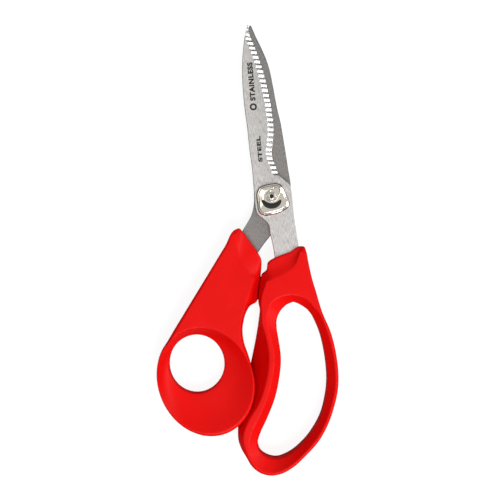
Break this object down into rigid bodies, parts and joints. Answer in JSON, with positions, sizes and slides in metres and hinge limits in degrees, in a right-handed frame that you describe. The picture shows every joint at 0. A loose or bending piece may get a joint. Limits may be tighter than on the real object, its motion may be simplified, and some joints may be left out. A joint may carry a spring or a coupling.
{
  "type": "poultry shears",
  "caption": "Poultry shears with a serrated upper blade, a plain lower blade, a chromed pivot cap, and moulded thumb and finger loops.",
  "frame": {"origin": "centre of the pivot bolt's flat back face", "axes": "+Z along the pivot axis towards the capped front face; +Y from the pivot towards the blade tips; +X towards the finger loop's side"},
  "size_m": [0.0869, 0.2156, 0.015],
  "materials": {
    "front_blade_steel": "light satin ground stainless steel",
    "rear_blade_steel": "darker fine-blasted stainless steel",
    "red_plastic": "semi-gloss moulded red plastic",
    "polished_chrome": "polished chrome plate",
    "black_enamel": "black enamel filling",
    "plated_steel": "bright plated steel",
    "white_nylon": "natural nylon"
  },
  "bodies": {
    "finger_half": {"front_blade": "front_blade_steel", "finger_handle": "red_plastic", "pivot_cap": "polished_chrome", "cap_inlay": "black_enamel", "spring_washer": "plated_steel"},
    "thumb_half": {"rear_blade": "rear_blade_steel", "thumb_handle": "red_plastic", "pivot_bolt": "plated_steel", "pivot_nut": "plated_steel", "friction_washer": "white_nylon"}
  },
  "joints": [
    {"name": "pivot", "type": "hinge", "parent": "finger_half", "child": "thumb_half", "pos_m": [0, 0, 0], "axis": [0, 0, -1], "range_deg": [0, 42]}
  ]
}
